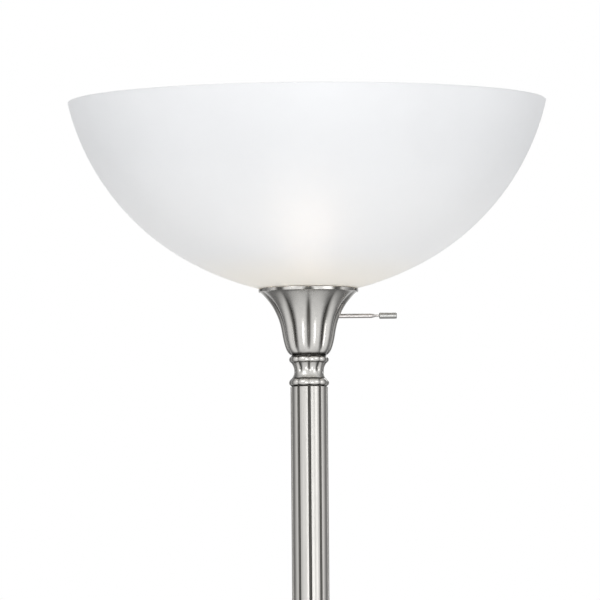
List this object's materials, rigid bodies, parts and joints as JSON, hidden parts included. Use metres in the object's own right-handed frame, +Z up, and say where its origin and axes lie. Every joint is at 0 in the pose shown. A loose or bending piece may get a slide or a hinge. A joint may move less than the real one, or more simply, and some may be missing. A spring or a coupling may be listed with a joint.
{
  "type": "floor lamp",
  "caption": "Torchiere floor lamp: a white glass bowl on a fluted cup and column, a weighted round base and a reading light with a glass bell on a jointed arm.",
  "frame": {"origin": "centre of the base on the floor", "axes": "+Z up the column, -Y is the front, +X the side of the main light's switch rod; the reading light's arm points to -X at rest and the cord's inlet to +Y"},
  "size_m": [0.4227, 0.4078, 1.8005],
  "materials": {
    "nickel": "brushed nickel plate with a light lacquer",
    "polished": "bright nickel plate",
    "zinc": "zinc plated steel",
    "iron": "rough cast iron",
    "foam": "dense foam",
    "bush": "moulded nylon",
    "phenolic": "moulded phenolic",
    "brass": "spring brass",
    "seal": "soft ring",
    "opal": "blown opal glass",
    "bulb": "frosted glass",
    "bulb_cap": "bare aluminium"
  },
  "bodies": {
    "lamp": {"base_pad": "foam", "base_weight": "iron", "base_shell": "nickel", "cord_inlet": "bush", "base_collar": "nickel", "lower_tube": "nickel", "column_ring": "polished", "middle_tube": "nickel", "hub_lower": "nickel", "hub_upper": "nickel", "swivel_washers": "bush", "upper_tube": "nickel", "column_neck": "nickel", "tube_inserts": "zinc", "column_nipples": "zinc", "column_nuts": "zinc", "column_washers": "zinc", "main_cup": "nickel", "main_socket_cap": "zinc", "main_socket_body": "phenolic", "main_screw_shell": "brass", "main_socket_contact": "brass", "main_seat_plate": "zinc", "main_gasket": "seal", "main_shade_ring": "phenolic", "main_bulb_cap": "bulb_cap", "main_bulb_glass": "bulb", "main_glass": "opal"},
    "main_switch": {"main_switch_cam": "phenolic", "main_switch_rod": "polished", "main_switch_knob": "polished"},
    "swivel": {"swivel_collar": "nickel", "arm_bolt": "polished", "arm_washers": "bush"},
    "arm_nut": {"arm_thumb_nut": "polished"},
    "arm": {"arm_tongue": "nickel", "arm_tube": "nickel", "arm_fork": "nickel", "head_bolt": "polished", "head_washers": "bush"},
    "head_nut": {"head_thumb_nut": "polished"},
    "head": {"head_knuckle": "nickel", "head_nipple": "zinc", "head_lock_nut": "zinc", "head_lock_washer": "zinc", "reading_cup": "nickel", "reading_socket_cap": "zinc", "reading_socket_body": "phenolic", "reading_screw_shell": "brass", "reading_socket_contact": "brass", "reading_seat_plate": "zinc", "reading_gasket": "seal", "reading_shade_ring": "phenolic", "reading_bulb_cap": "bulb_cap", "reading_bulb_glass": "bulb", "reading_glass": "opal"},
    "reading_switch": {"reading_switch_cam": "phenolic", "reading_switch_rod": "polished", "reading_switch_knob": "polished"}
  },
  "joints": [
    {"name": "main_switch_turn", "type": "hinge", "parent": "lamp", "child": "main_switch", "pos_m": [0, 0, 1.6171], "axis": [1, 0, 0], "continuous": true},
    {"name": "arm_swivel", "type": "hinge", "parent": "lamp", "child": "swivel", "pos_m": [0, 0, 1.137], "axis": [0, 0, 1], "range_deg": [-90, 90]},
    {"name": "arm_tilt", "type": "hinge", "parent": "swivel", "child": "arm", "pos_m": [-0.034, 0, 1.137], "axis": [0, 1, 0], "range_deg": [-20, 35]},
    {"name": "arm_nut_turn", "type": "hinge", "parent": "swivel", "child": "arm_nut", "pos_m": [-0.034, 0, 1.137], "axis": [0, 1, 0], "continuous": true},
    {"name": "head_tilt", "type": "hinge", "parent": "arm", "child": "head", "pos_m": [-0.15492, 0, 1.1525], "axis": [0, 1, 0], "range_deg": [-5, 75]},
    {"name": "head_nut_turn", "type": "hinge", "parent": "arm", "child": "head_nut", "pos_m": [-0.15492, 0, 1.1525], "axis": [0, 1, 0], "continuous": true},
    {"name": "reading_switch_turn", "type": "hinge", "parent": "head", "child": "reading_switch", "pos_m": [-0.15492, 0, 1.1015], "axis": [-1, 0, 0], "continuous": true}
  ]
}
